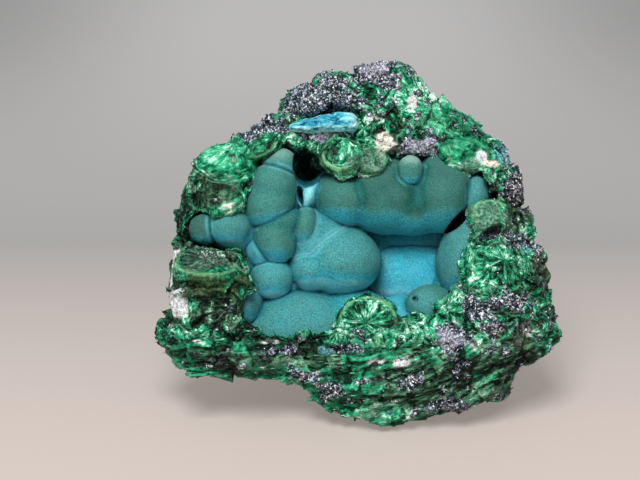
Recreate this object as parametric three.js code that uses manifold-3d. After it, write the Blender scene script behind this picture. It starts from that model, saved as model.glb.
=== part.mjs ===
// Chrysocolla and malachite specimen: a broken lump of fibrous malachite whose front opens
// into a hollow lined with a crust of blue-green chrysocolla balls. A second, smaller crust
// shows in a slot above the hollow. Millimetres, +Z up, the stone rests on a flat at z = 0.
//
// Everything is laid out in the frame of the broken front: x to the right, y up along the
// front and z outwards from it. The front leans back, and inRowFrame stands the stone up.
import * as THREE from "three";
import { mergeVertices } from "three/addons/utils/BufferGeometryUtils.js";
import { ImprovedNoise } from "three/addons/math/ImprovedNoise.js";
import Module from "manifold-3d";

const wasm = await Module();
wasm.setup();

// ---- driving dimensions ----
const lean = THREE.MathUtils.degToRad(20); // how far the front leans back from upright
const standHeight = 35.9; // the middle of the front above the resting flat
const joint = 0.3; // gap between the stone and each crust
const facet = { stone: 4.65, mass: 5, rimBall: 4.2, crustBall: 4.5, pocket: 9.4 }; // edge lengths

// The stone's outline seen square to the front, counter-clockwise from the right.
const outline = [
  [37, 0], [34.6, 5.3], [32.6, 12.4], [33.2, 18.6], [30, 22.2], [26.2, 27.2],
  [20.8, 33], [16, 33.2], [12.2, 38], [10.8, 42.8], [6.4, 43.6], [0, 40.4],
  [-8.8, 36.2], [-15, 34.8], [-16.4, 30.4], [-24, 24.4], [-32.8, 23.6], [-37.4, 14.6],
  [-41, 8.6], [-39.4, 2.2], [-40, -6], [-42.6, -12], [-46, -21], [-42.4, -26],
  [-38.8, -32.4], [-31.1, -30], [-25.8, -27.6], [-17.6, -27], [-10.4, -30.8], [-5.2, -35],
  [4.4, -38.6], [9.8, -39], [16.4, -38.4], [22.9, -34.6], [29.6, -35.6], [32.8, -32],
  [34.8, -26.4], [41.4, -23.4], [45, -20.4], [42.2, -13.8], [40.8, -5.6], [38.4, -2],
];

const depth = {
  frontTop: 6, // how far the broken front bulges above the hollow
  frontBottom: 13, // and below it
  back: 31,
  frontBoxiness: 2.5, // exponents of the superellipse from the outline to the middle
  backBoxiness: 3.4,
  topSetBack: 0.1, // the outline's edge runs back towards the top
};

// Flat breaks across the back and sides: the way each one faces, and how far out it is.
const breaks = [
  { facing: [0.12, 0.1, -1], distance: 27.5 },
  { facing: [-0.8, 0.2, -0.62], distance: 34 },
  { facing: [0.85, -0.05, -0.55], distance: 35.5 },
  { facing: [0.1, 0.85, -0.55], distance: 33 },
  { facing: [-0.5, 0.68, -0.55], distance: 30.5 },
  { facing: [0.6, 0.6, -0.55], distance: 32 },
  { facing: [-0.6, -0.5, -0.62], distance: 34.5 },
];

// The stone is broken in flats of about cell across, each at its own height and tilt.
const stoneBreak = { cell: 9, height: 1.5, tilt: 0.28 };
const massBreak = { cell: 5, height: 0.6, tilt: 0.3 };

// Below 1, this crowds the facets of the front towards its outline, round the hollow.
const frontFineness = 0.6;

// Swells of the front: [x, y], how wide and how high.
const swells = [
  { at: [-2, 31], width: 7, height: 2.5 },
  { at: [13, 25.5], width: 6, height: 3.5 },
  { at: [4, 24], width: 5, height: 2.5 },
  { at: [33, 12], width: 7, height: 4 },
  { at: [27, -16], width: 6, height: 3.5 },
  { at: [18, -27], width: 8, height: 3.5 },
  { at: [2, -30], width: 9, height: 2.5 },
  { at: [-18, -26], width: 8, height: 3 },
  { at: [-33, -22], width: 7, height: 3.5 },
];

// Malachite masses that stand out of the stone, [x, y, z] and half sizes.
const stoneLumps = {
  topKnob: { at: [7.6, 35, -5.6], size: [5.8, 6.6, 7], turn: -25 },
  topShoulder: { at: [-7, 31.4, -4], size: [8.4, 5, 7], turn: 10 },
  topRidge: { at: [-19.5, 22.8, -1.5], size: [9, 4, 6.5], turn: 26 },
  rightShoulder: { at: [19, 25, -2], size: [9.6, 6, 7], turn: -40 },
  rightBulge: { at: [36.2, -6.4, 1], size: [5.4, 7.6, 6.5], turn: -4 },
  rightFoot: { at: [37.4, -19.8, 1], size: [7.6, 4.8, 7], turn: 10 },
  lowerKeel: { at: [8, -32.4, 3], size: [13, 5, 7.5], turn: -4 },
  heel: { at: [-7, -24, -16], size: [9, 10, 11] },
  lowerLeft: { at: [-37.4, -21.6, 2], size: [8, 6, 7], turn: -30 },
};

// Malachite balls at the rim of the hollow, each broken across: its outer part is gone beyond
// a flat that faces that way and lies that far from its middle.
const rimBalls = {
  frontBall: { at: [1.7, -17.8, 6.4], size: [7.1, 6.7, 6.6], facing: [-0.05, 0.2, 1], flat: 3 },
  frontTwin: { at: [12, -19.4, 6], size: [5.6, 4.8, 5.5], facing: [0.1, 0.2, 1], flat: 3.2 },
  leftBarrel: { at: [-33.4, -6, 5.6], size: [7.8, 7, 7.4], facing: [0, 0.9, 0.42], flat: 3 },
  lowerLip: { at: [-9.6, -23.4, 4.6], size: [7, 4.6, 6], facing: [0, 0.2, 1], flat: 4 },
  leftUnder: { at: [-32.5, -14.6, 4.4], size: [7, 6, 6.5], facing: [0.2, -0.3, 1], flat: 3.7 },
  upperLeft: { at: [-30, 14.4, 1.6], size: [7.6, 8.6, 7.6], turn: -8, facing: [0, 0.75, 0.65], flat: 5 },
  thumbLip: { at: [-21.8, 21.2, 1.4], size: [5, 2.7, 6], turn: 24, facing: [-0.1, 0.3, 1], flat: 4.4 },
  topLip: { at: [-4.2, 19.4, 4], size: [4.6, 4.2, 4.6], facing: [-0.1, 0.45, 1], flat: 2.4 },
  lipTwin: { at: [2.6, 18.4, 2.4], size: [3.6, 3.6, 4.6], facing: [0.1, 0.35, 1], flat: 2.8 },
  upperRight: { at: [22.4, 19.4, 1], size: [6.4, 4.4, 5], facing: [0.3, 0.4, 1], flat: 3.2 },
  rightLip: { at: [28.4, 6, 3], size: [4.9, 4.2, 5], facing: [0.1, 0.3, 1], flat: 3 },
  rightShell: { at: [28, -5.4, 5], size: [6.2, 6.8, 6.4], facing: [0.3, 0.15, 1], flat: 3.6 },
};

// The hollow, before its crust: overlapping rounded pockets.
const pockets = [
  { at: [-0.6, 0, 6], size: [26, 20, 27] },
  { at: [-29, 3.2, 3], size: [10.5, 6.2, 9] },
  { at: [-18.8, 13, 3], size: [8.4, 10.4, 9.4] },
  { at: [24, 10, 1], size: [7, 7.5, 12] },
  { at: [12.4, 15, 3], size: [10, 7.6, 9] },
  { at: [10, -15, 5], size: [9, 8, 10] },
  { at: [-16, -14.6, 5], size: [11.4, 7.8, 11] },
];

// The crust's own skin on the wall of the hollow: what is outside this, and behind skinFront.
const hollow = { at: [-0.6, 0, 7], size: [24, 18, 26] };
const skinFront = -3;

// Balls of the crust, from the left to the right.
const crustBalls = {
  farLeft: { at: [-34.4, 3.6, 1.8], size: [3.8, 3.8, 4] },
  left: { at: [-28.9, 4, 2.4], size: [4.9, 4.4, 4.9], turn: -4 },
  leftRoot: { at: [-26.5, 3, -2.4], size: [7, 5.4, 6] },
  thumbTop: { at: [-17.9, 17.4, 0.6], size: [4.4, 4.4, 5.6] },
  thumbUpper: { at: [-19.2, 13.2, 1.6], size: [5.4, 5.4, 7.2], turn: 6 },
  thumb: { at: [-19.9, 9.4, 1.8], size: [5.6, 6.6, 7.4], turn: -20 },
  dropUpper: { at: [-18.2, 4.8, 1.6], size: [5.6, 3.8, 6], turn: 20 },
  drop: { at: [-18.8, 1.6, 2], size: [4.8, 5.8, 6.2], turn: 10 },
  dropTwin: { at: [-12.3, 4.3, 1.4], size: [2.9, 4.5, 4.9], turn: -6 },
  underDrop: { at: [-21.6, -1.4, 0], size: [4.2, 4.2, 5] },
  lowerLeft: { at: [-19.6, -7.3, 0.8], size: [4.9, 4.7, 5.4] },
  leftFold: { at: [-24.6, -3, -6], size: [2.8, 8, 8] },
  leftFoot: { at: [-25.2, -13, 0.6], size: [3.6, 4.6, 6] },
  shoulder: { at: [-9.8, 1, -4.2], size: [8.4, 7.4, 8.6], turn: 38 },
  dome: { at: [-4.9, -3.2, -3.6], size: [9.7, 8, 9.6], turn: -8 },
  domeLeft: { at: [-10.8, -5.2, -3.2], size: [5.6, 5.4, 8.6] },
  floorLeft: { at: [-13.4, -18.6, -3], size: [12.6, 8.6, 10.2] },
  floorMiddle: { at: [-2, -18, -5.4], size: [10.5, 8.4, 9.6] },
  drapeLeft: { at: [-3.8, 10.2, -3.2], size: [7, 6.2, 9.2], turn: -20 },
  drapeMiddle: { at: [6.2, 11, -4], size: [10.4, 8.8, 10.2] },
  drapeLow: { at: [11.5, 8.4, -3.6], size: [9.5, 6.4, 8.2] },
  drapeRight: { at: [18.2, 12, -2.8], size: [7.4, 9.6, 9.6], turn: -16 },
  bead: { at: [11, 16.5, 3.4], size: [2.9, 3.4, 3.4] },
  backWall: { at: [11.6, -6, -19], size: [14, 13, 12.2] },
  floorRight: { at: [9, -19.4, -5], size: [8, 8.2, 9] },
  rightSide: { at: [23.8, -2.4, -4.6], size: [6.5, 10, 10], turn: -12 },
  rightFoot: { at: [15.4, -13.6, 0.4], size: [5.4, 4.8, 6] },
  rightTop: { at: [25.6, 11.4, -1.6], size: [3.4, 5, 6] },
  leftRecess: { at: [-11.6, 10, -7.4], size: [5, 8, 6.8] },
  gapRidge: { at: [-11.4, 11, -2], size: [2.1, 4.2, 6], turn: -20 },
};

// Holes that run deeper than the crust: the dark hole beside the thumb and the crevice on the
// right, and the cleft across the broken shell beside it.
const holes = [
  { at: [-11.8, 17.6, -1], size: [3.4, 5, 15] },
  { at: [21.8, 5.6, -8], size: [1.7, 4.6, 14], turn: -42 },
  { at: [28.2, 2, 8], size: [4.6, 1.6, 5], turn: 36 },
];

// The slot above the hollow, and the crust that bulges up from its floor.
const slot = { at: [-7.6, 27.8, 4], size: [8.2, 3.4, 9], turn: 8 };
const seamBalls = [
  { at: [-11.4, 26.2, 0.8], size: [3.6, 1.7, 5.4], turn: 12 },
  { at: [-7.4, 26.8, 1.2], size: [4, 2.2, 5.6], turn: 8 },
  { at: [-3.4, 27.2, 0.8], size: [3.4, 2.1, 5.4], turn: 4 },
];

// ---- frame and solids ----
const inRowFrame = new THREE.Matrix4()
  .makeTranslation(0, 0, standHeight)
  .multiply(new THREE.Matrix4().makeRotationX(Math.PI / 2 - lean));

const noise = new ImprovedNoise();

// Soft relief of a point, from -1 to 1.
function relief(point, wavelength) {
  return noise.noise(point.x / wavelength, point.y / wavelength, point.z / wavelength);
}

// A number from 0 to 1 that is always the same for a point.
function scatter(point, seed) {
  const wave = 43758.5453 * Math.sin(point.dot(new THREE.Vector3(12.9898, 78.233, 37.719)) + seed);
  return wave - Math.floor(wave);
}

// Broken relief of a point: the cell that it lies in ends in a flat, at its own height and tilt.
function brokenRelief(point, { cell, height, tilt }) {
  const inCells = point.clone().divideScalar(cell);
  const corner = inCells.clone().floor();
  let nearest = Infinity;
  let owner;
  let fromMiddle;
  for (let i = 0; i < 27; i++) {
    const steps = new THREE.Vector3(i % 3, Math.floor(i / 3) % 3, Math.floor(i / 9)).subScalar(1);
    const candidate = corner.clone().add(steps);
    const middle = new THREE.Vector3(...[1, 2, 3].map((seed) => scatter(candidate, seed)));
    const offset = inCells.clone().sub(middle.add(candidate));
    if (offset.lengthSq() < nearest) {
      nearest = offset.lengthSq();
      owner = candidate;
      fromMiddle = offset;
    }
  }
  const slope = new THREE.Vector3(...[4, 5, 6].map((seed) => 2 * scatter(owner, seed) - 1));
  return height * (2 * scatter(owner, 7) - 1) + tilt * cell * fromMiddle.dot(slope);
}

// A closed geometry as a solid that can be joined and cut.
function toSolid(geometry) {
  const bare = geometry.clone();
  bare.deleteAttribute("normal");
  bare.deleteAttribute("uv");
  const merged = mergeVertices(bare, 1e-4);
  return new wasm.Manifold(new wasm.Mesh({
    numProp: 3,
    vertProperties: merged.getAttribute("position").array,
    triVerts: new Uint32Array(merged.index.array),
  }));
}

function toGeometry(solid) {
  const mesh = solid.getMesh();
  const geometry = new THREE.BufferGeometry();
  geometry.setAttribute("position", new THREE.BufferAttribute(mesh.vertProperties, 3));
  geometry.setIndex(new THREE.BufferAttribute(mesh.triVerts, 1));
  const faceted = geometry.toNonIndexed();
  faceted.computeVertexNormals();
  return faceted;
}

// A unit ball whose facets have edges of about that length once it is scaled to the radius.
function facetedBall(radius, edge) {
  const edgesPerSide = Math.round((1.05 * radius) / edge);
  return new THREE.IcosahedronGeometry(1, Math.max(edgesPerSide, 2) - 1);
}

// The geometry with each point pushed out along its own normal by what relief says of it.
function withRelief(geometry, reliefAt) {
  geometry.deleteAttribute("normal");
  geometry.deleteAttribute("uv");
  const merged = mergeVertices(geometry, 1e-4);
  merged.computeVertexNormals();
  const positions = merged.getAttribute("position");
  const normals = merged.getAttribute("normal");
  const point = new THREE.Vector3();
  const outwards = new THREE.Vector3();
  for (let i = 0; i < positions.count; i++) {
    point.fromBufferAttribute(positions, i);
    outwards.fromBufferAttribute(normals, i);
    point.addScaledVector(outwards, reliefAt(point));
    positions.setXYZ(i, point.x, point.y, point.z);
  }
  return merged;
}

// An ellipsoid of those half sizes, turned about the front's normal by turn degrees.
// grow widens it all round, and broken gives it a broken surface.
function lump({ at, size, turn = 0 }, edge, { grow = 0, broken } = {}) {
  const ball = facetedBall(Math.max(...size), edge);
  ball.scale(size[0] + grow, size[1] + grow, size[2] + grow);
  ball.rotateZ(THREE.MathUtils.degToRad(turn));
  ball.translate(...at);
  const surface = broken ? withRelief(ball, (point) => brokenRelief(point, broken)) : ball;
  return toSolid(surface.applyMatrix4(inRowFrame));
}

// The solid without what lies in front of the plane through that point, facing that way.
function behind(solid, point, facing) {
  const normal = facing.clone().negate().transformDirection(inRowFrame);
  return solid.trimByPlane(normal.toArray(), normal.dot(point.clone().applyMatrix4(inRowFrame)));
}

function joined(solids) {
  return solids.reduce((whole, solid) => whole.add(solid));
}

function cutAway(solid, tools) {
  return tools.reduce((left, tool) => left.subtract(tool), solid);
}

// The largest body of a solid, without loose crumbs and with sealed pockets filled.
function mainBody(solid) {
  const bodies = solid.decompose();
  return bodies.reduce((best, body) => (body.volume() > best.volume() ? body : best));
}

// ---- the stone ----
const outlineByAngle = outline
  .map(([x, y]) => ({ angle: Math.atan2(y, x), reach: Math.hypot(x, y) }))
  .sort((a, b) => a.angle - b.angle);

// How far the outline is from the middle, in that direction.
function outlineReach(angle) {
  const last = outlineByAngle[outlineByAngle.length - 1];
  let before = { angle: last.angle - 2 * Math.PI, reach: last.reach };
  for (const after of outlineByAngle) {
    if (angle <= after.angle) {
      const share = (angle - before.angle) / (after.angle - before.angle);
      return THREE.MathUtils.lerp(before.reach, after.reach, share);
    }
    before = after;
  }
  const first = outlineByAngle[0];
  const share = (angle - last.angle) / (first.angle + 2 * Math.PI - last.angle);
  return THREE.MathUtils.lerp(last.reach, first.reach, share);
}

// How much the swells add to the front at that place.
function swellAt(x, y) {
  return swells.reduce((sum, { at, width, height }) => {
    const away = Math.hypot(x - at[0], y - at[1]) / width;
    return sum + height * Math.exp(-away * away);
  }, 0);
}

// How far the stone reaches from its middle along a unit vector of the front's frame.
function stoneReach(direction) {
  const angle = Math.atan2(direction.y, direction.x);
  const across = Math.hypot(direction.x, direction.y);
  const inFront = direction.z > 0;
  const upwards = (1 + Math.sin(angle)) / 2;
  const bulge = THREE.MathUtils.lerp(depth.frontBottom, depth.frontTop, upwards);
  const boxiness = inFront ? depth.frontBoxiness : depth.backBoxiness;
  const sideways = across / outlineReach(angle);
  const outwards = Math.abs(direction.z) / (inFront ? bulge : depth.back);
  let reach = (sideways ** boxiness + outwards ** boxiness) ** (-1 / boxiness);
  if (inFront) reach += swellAt(reach * direction.x, reach * direction.y);
  for (const { facing, distance } of breaks) {
    const towards = direction.dot(new THREE.Vector3(...facing).normalize());
    if (towards > 0) reach = Math.min(reach, distance / towards);
  }
  return reach;
}

function stoneCore() {
  const geometry = facetedBall(outlineReach(0), facet.stone);
  const positions = geometry.getAttribute("position");
  const direction = new THREE.Vector3();
  for (let i = 0; i < positions.count; i++) {
    direction.fromBufferAttribute(positions, i);
    direction.z *= direction.z > 0 ? frontFineness : 1;
    direction.normalize();
    direction.multiplyScalar(stoneReach(direction));
    direction.z -= depth.topSetBack * direction.y;
    positions.setXYZ(i, direction.x, direction.y, direction.z);
  }
  const surface = withRelief(geometry, (point) => brokenRelief(point, stoneBreak) + relief(point, 6));
  return toSolid(surface.applyMatrix4(inRowFrame));
}

// A rim ball with its broken flat, or with grow the room that it takes up in the crust.
function brokenBall(ball, grow = 0) {
  const facing = new THREE.Vector3(...ball.facing).normalize();
  const onFlat = facing.clone().multiplyScalar(ball.flat + grow).add(new THREE.Vector3(...ball.at));
  return behind(lump(ball, facet.rimBall, { grow }), onFlat, facing);
}

const balls = Object.values(rimBalls).map((ball) => brokenBall(ball));
const ballRoom = Object.values(rimBalls).map((ball) => brokenBall(ball, joint));
const masses = Object.values(stoneLumps).map((mass) => lump(mass, facet.mass, { broken: massBreak }));
const slotHole = lump(slot, facet.mass);
const pocketHoles = pockets.map((pocket) => lump(pocket, facet.pocket));
const deepHoles = holes.map((hole) => lump(hole, facet.pocket));

const rock = joined([stoneCore(), ...masses]);
const opened = cutAway(rock, [...pocketHoles, slotHole]);
const matrix = mainBody(
  cutAway(joined([opened, ...balls]), deepHoles).trimByPlane([0, 0, 1], 0));

// ---- the crusts ----
const pocketRoom = joined(pockets.map((pocket) => lump(pocket, facet.pocket, { grow: -joint })));
const outwards = new THREE.Vector3(0, 0, 1);
const skinEnd = outwards.clone().multiplyScalar(skinFront);
const skin = behind(pocketRoom.subtract(lump(hollow, facet.pocket)), skinEnd, outwards);
const lining = joined([skin, ...Object.values(crustBalls).map((ball) => lump(ball, facet.crustBall))]);
const crust = mainBody(cutAway(lining.intersect(pocketRoom), [...ballRoom, ...deepHoles]));

const seamRoom = lump(slot, facet.mass, { grow: -joint });
const seam = mainBody(
  cutAway(joined(seamBalls.map((ball) => lump(ball, facet.crustBall))).intersect(seamRoom), ballRoom));

// ---- the finished group ----
const box = matrix.boundingBox();
const toOrigin = [-(box.min[0] + box.max[0]) / 2, -(box.min[1] + box.max[1]) / 2, 0];

function piece(name, solid, color, roughness) {
  const material = new THREE.MeshStandardMaterial({ color, roughness, metalness: 0 });
  const mesh = new THREE.Mesh(toGeometry(solid.translate(toOrigin)), material);
  mesh.name = name;
  return mesh;
}

const specimen = new THREE.Group();
specimen.add(
  piece("malachite_matrix", matrix, 0x1f6b4a, 0.55),
  piece("chrysocolla_crust", crust, 0x3f9c9a, 0.8),
  piece("chrysocolla_seam", seam, 0x55b4c8, 0.8),
);

export default specimen;
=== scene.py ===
import itertools
import math

import bmesh
import bpy
import numpy as np
from mathutils import Matrix, Vector
from mathutils.bvhtree import BVHTree


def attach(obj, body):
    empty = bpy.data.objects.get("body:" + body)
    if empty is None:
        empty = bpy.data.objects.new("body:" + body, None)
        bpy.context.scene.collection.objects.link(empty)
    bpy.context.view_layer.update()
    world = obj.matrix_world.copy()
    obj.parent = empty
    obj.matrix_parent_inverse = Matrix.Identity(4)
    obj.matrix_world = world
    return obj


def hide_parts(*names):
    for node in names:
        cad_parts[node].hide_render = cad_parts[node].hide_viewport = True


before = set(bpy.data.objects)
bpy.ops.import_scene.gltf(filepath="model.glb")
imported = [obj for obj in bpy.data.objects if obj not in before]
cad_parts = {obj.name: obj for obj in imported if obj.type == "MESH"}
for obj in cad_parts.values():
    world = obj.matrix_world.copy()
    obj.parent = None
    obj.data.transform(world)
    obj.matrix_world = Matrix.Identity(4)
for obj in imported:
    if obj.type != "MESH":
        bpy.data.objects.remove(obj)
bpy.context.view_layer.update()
mm = 0.001
print("frame loaded:", sorted(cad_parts))

# Shapes are laid out on the broken front: x to the right, y up along it and z out of it, in mm.
front = dict(lean=20, middle=(-0.0001817, -0.0056224, 0.0359))
frontToRow = (Matrix.Translation(front["middle"])
              @ Matrix.Rotation(math.radians(90 - front["lean"]), 4, "X")
              @ Matrix.Scale(mm, 4))
frontTurn = np.array(frontToRow.to_3x3()) / mm


# relief worked out on arrays of points, in mm; the last number of a call is its seed
def scramble(cells, seed):  # whole numbers to 0..1, always alike for the same cell
    mixed = cells @ np.array([73856093, 19349663, 83492791]) + seed * 6542989
    for turn in (73244475, 295560691):
        mixed = ((mixed ^ (mixed >> 15)) * turn) & 0xFFFFFFFF
    return ((mixed ^ (mixed >> 16)) & 0xFFFF) / 0xFFFF


def softNoise(points, size, seed):  # -1..1, waves of about that size
    scaled = points / size
    corner = np.floor(scaled).astype(np.int64)
    part = scaled - corner
    part = part * part * (3 - 2 * part)
    total = 0
    for step in itertools.product((0, 1), repeat=3):
        weight = np.prod(np.where(np.array(step) == 1, part, 1 - part), axis=1)
        total = total + weight * scramble(corner + np.array(step), seed)
    return 2 * total - 1


def cellsOf(points, size, seed):  # the cell each point is in, its offset from the middle, and the edge
    scaled = points / size
    corner = np.floor(scaled).astype(np.int64)
    nearest = np.full(len(points), 9.0)
    second = nearest.copy()
    owner = corner.copy()
    offset = scaled.copy()
    for step in itertools.product((-1, 0, 1), repeat=3):
        cell = corner + np.array(step)
        away = scaled - cell - np.stack([scramble(cell, seed + axis) for axis in range(3)], axis=1)
        distance = np.linalg.norm(away, axis=1)
        closer = distance < nearest
        second = np.where(closer, nearest, np.minimum(second, distance))
        owner[closer] = cell[closer]
        offset[closer] = away[closer]
        nearest = np.where(closer, distance, nearest)
    return owner, offset * size, nearest, second - nearest


def chips(points, size, height, tilt, seed):  # broken flats, each at its own height and tilt
    owner, offset, _, _ = cellsOf(points, size, seed)
    slope = np.stack([2 * scramble(owner, seed + 4 + axis) - 1 for axis in range(3)], axis=1)
    return height * (2 * scramble(owner, seed + 7) - 1) + tilt * np.sum(offset * slope, axis=1)


def ease(low, high, values):  # 0 below low, 1 above high
    share = np.clip((values - low) / (high - low), 0, 1)
    return share * share * (3 - 2 * share)


# meshes
def readAll(rows, name, width=1, kind=float):  # a value, or a few, of each vertex, edge or face
    flat = np.empty(len(rows) * width, kind)
    rows.foreach_get(name, flat)
    return flat.reshape(-1, width) if width > 1 else flat


def pointsOf(mesh):
    return readAll(mesh.vertices, "co", 3)


def normalsOf(mesh):
    return readAll(mesh.vertices, "normal", 3)


def place(mesh, points):
    mesh.vertices.foreach_set("co", points.ravel())
    mesh.update()


def onFront(points):  # from the row frame to the front's own frame, in mm
    return (points - np.array(front["middle"])) @ frontTurn / mm


def push(mesh, amounts):  # along the normals, in mm
    place(mesh, pointsOf(mesh) + normalsOf(mesh) * (amounts * mm)[:, None])


def edgesOf(mesh):
    return readAll(mesh.edges, "vertices", 2, np.int32).T


def neighbourMean(edges, values):
    start, end = edges
    count = np.bincount(start, minlength=len(values)) + np.bincount(end, minlength=len(values))
    columns = [np.bincount(start, column[end], len(values)) + np.bincount(end, column[start], len(values))
               for column in values.T]
    return np.stack(columns, axis=1) / np.maximum(count, 1)[:, None]


def relax(mesh, rounds, amount):  # evens out the surface, by an amount from 0 to 1 at each vertex
    edges, points = edgesOf(mesh), pointsOf(mesh)
    for _ in range(rounds):
        points = points + (neighbourMean(edges, points) - points) * amount[:, None]
    place(mesh, points)


def hollowness(mesh, rounds):  # above 0 in creases and below 0 on edges, in mm
    edges, points = edgesOf(mesh), pointsOf(mesh)
    smooth = points
    for _ in range(rounds):
        smooth = neighbourMean(edges, smooth)
    return np.sum((smooth - points) * normalsOf(mesh), axis=1) / mm


def keep(mesh, name, values):  # as a vertex attribute for the materials
    kind = "FLOAT" if values.ndim == 1 else "FLOAT_VECTOR"
    attribute = mesh.attributes.new(name, kind, "POINT")
    attribute.data.foreach_set("value" if kind == "FLOAT" else "vector", values.ravel())


def settle(obj):  # applies its modifiers
    shaped = obj.evaluated_get(bpy.context.evaluated_depsgraph_get())
    mesh = bpy.data.meshes.new_from_object(shaped)
    obj.modifiers.clear()
    obj.vertex_groups.clear()
    obj.data = mesh


def asObject(bm, name):
    mesh = bpy.data.meshes.new(name)
    bm.to_mesh(mesh)
    bm.free()
    obj = bpy.data.objects.new(name, mesh)
    bpy.context.scene.collection.objects.link(obj)
    return obj


def grainOf(obj, voxel):
    obj.modifiers.new("skin", "REMESH").voxel_size = voxel * mm * 1
    settle(obj)


def thin(obj, least, share):  # fewer faces, first where least is 1
    group = obj.vertex_groups.new(name="least")
    for i in np.flatnonzero(least > 0.01):
        group.add([int(i)], float(least[i]), "REPLACE")
    modifier = obj.modifiers.new("thin", "DECIMATE")
    modifier.ratio = share
    modifier.vertex_group = "least"
    modifier.vertex_group_factor = 8
    settle(obj)


def treeOf(node):  # to cast rays at a CAD node
    bm = bmesh.new()
    bm.from_mesh(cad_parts[node].data)
    tree = BVHTree.FromBMesh(bm)
    bm.free()
    return tree


def copyOf(node):  # a CAD node's loose triangles as one closed mesh
    bm = bmesh.new()
    bm.from_mesh(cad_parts[node].data)
    bmesh.ops.remove_doubles(bm, verts=bm.verts, dist=1e-6)
    return bm


def ballPlace(ball):
    return (frontToRow @ Matrix.Translation(ball["at"])
            @ Matrix.Rotation(math.radians(ball.get("turn", 0)), 4, "Z")
            @ Matrix.Diagonal((*ball["size"], 1)))


def addBall(bm, ball):
    bmesh.ops.create_icosphere(bm, subdivisions=5, radius=1, matrix=ballPlace(ball))


def inBall(points, ball, power=2):  # how far out each point is, 1 at the ball's skin
    turn = math.radians(ball.get("turn", 0))
    away = points - np.array(ball["at"])
    across = away[:, 0] * math.cos(turn) + away[:, 1] * math.sin(turn)
    along = -away[:, 0] * math.sin(turn) + away[:, 1] * math.cos(turn)
    placed = np.stack([across, along, away[:, 2]], axis=1)
    return np.linalg.norm(placed / np.array(ball["size"]), power, axis=1)


def blot(points, patches, raggedness=0.45):  # 1 in the patches [x, y, half width, half height], 0 outside
    ragged = 1 + raggedness * softNoise(points, 2.6, 31) + 0.5 * raggedness * softNoise(points, 1.1, 33)
    inside = np.zeros(len(points))
    for x, y, wide, high in patches:
        away = np.hypot((points[:, 0] - x) / wide, (points[:, 1] - y) / high)
        inside = np.maximum(inside, 1 - ease(0.75, 1.15, away * ragged))
    return inside * ease(-12, -6, points[:, 2])


# materials
def colour(red, green, blue):  # screen values to light
    return tuple(((v / 255 + 0.055) / 1.055) ** 2.4 if v > 10 else v / 255 / 12.92
                 for v in (red, green, blue)) + (1,)


class Wire:  # a socket that sums and products can be written with
    def __init__(self, finish, socket):
        self.finish = finish
        self.socket = socket

    def maths(self, operation, *values):
        return self.finish.node("ShaderNodeMath", {"operation": operation}, dict(enumerate(values)))

    def __add__(self, other):
        return self.maths("ADD", self, other)

    def __sub__(self, other):
        return self.maths("SUBTRACT", self, other)

    def __rsub__(self, other):
        return self.maths("SUBTRACT", other, self)

    def __mul__(self, other):
        return self.maths("MULTIPLY", self, other)

    __radd__ = __add__
    __rmul__ = __mul__


class Finish:  # a material and its nodes
    def __init__(self, name, **constants):
        self.material = bpy.data.materials.new(name)
        self.material.use_nodes = True
        self.tree = self.material.node_tree
        self.shader = next(n for n in self.tree.nodes if n.type == "BSDF_PRINCIPLED")
        self.set(**constants)

    def node(self, kind, settings=None, sockets=None, out=0):
        made = self.tree.nodes.new(kind)
        for setting, value in (settings or {}).items():
            if setting == "stops":
                ramp = made.color_ramp
                while len(ramp.elements) < len(value):
                    ramp.elements.new(0.5)
                for element, (position, *shade) in zip(ramp.elements, value):
                    element.position = position
                    element.color = colour(*shade)
            else:
                setattr(made, setting, value)
        for socket, value in (sockets or {}).items():
            self.put(made.inputs[socket], value)
        return Wire(self, made.outputs[out])

    def put(self, socket, value):
        if isinstance(value, Wire):
            self.tree.links.new(value.socket, socket)
        else:
            socket.default_value = value

    def set(self, **sockets):
        for socket, value in sockets.items():
            self.put(self.shader.inputs[socket.replace("_", " ")], value)

    def attribute(self, name, out="Fac"):
        return self.node("ShaderNodeAttribute", {"attribute_name": name}, out=out)

    def place(self):
        return self.node("ShaderNodeTexCoord", out="Object")

    def mix(self, share, under, over, blend="MIX"):
        return self.node("ShaderNodeMix", {"data_type": "RGBA", "blend_type": blend},
                         {0: share, 6: under, 7: over}, out=2)

    def tinted(self, under, name, most, over):  # the colour over, where that attribute is
        return self.mix(self.attribute(name) * most, under, over)

    def ramp(self, value, *stops):  # each stop is a position and a screen colour
        return self.node("ShaderNodeValToRGB", {"stops": stops}, {0: value})

    def span(self, value, low, high, start=0.0, end=1.0):
        return self.node("ShaderNodeMapRange", {"interpolation_type": "SMOOTHSTEP"},
                         {0: value, 1: low, 2: high, 3: start, 4: end})

    def noise(self, at, scale, detail=3, rough=0.55):
        return self.node("ShaderNodeTexNoise", {},
                         {"Vector": at, "Scale": scale, "Detail": detail, "Roughness": rough})

    def cellColour(self, at, scale):
        return self.node("ShaderNodeTexVoronoi", {}, {"Vector": at, "Scale": scale}, out="Color")

    def bump(self, height, distance, strength=1.0, normal=None):
        sockets = {"Height": height, "Distance": distance, "Strength": strength}
        if normal:
            sockets["Normal"] = normal
        return self.node("ShaderNodeBump", {}, sockets)

    def glints(self, at, scale, amount):  # each small cell faces a little its own way
        tilt = self.node("ShaderNodeVectorMath", {"operation": "SUBTRACT"},
                         {0: self.cellColour(at, scale), 1: (0.5, 0.5, 0.5)})
        tilt = self.node("ShaderNodeVectorMath", {"operation": "SCALE"}, {0: tilt, "Scale": amount})
        normal = self.node("ShaderNodeNewGeometry", out="Normal")
        both = self.node("ShaderNodeVectorMath", {"operation": "ADD"}, {0: normal, 1: tilt})
        return self.node("ShaderNodeVectorMath", {"operation": "NORMALIZE"}, {0: both})


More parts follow.
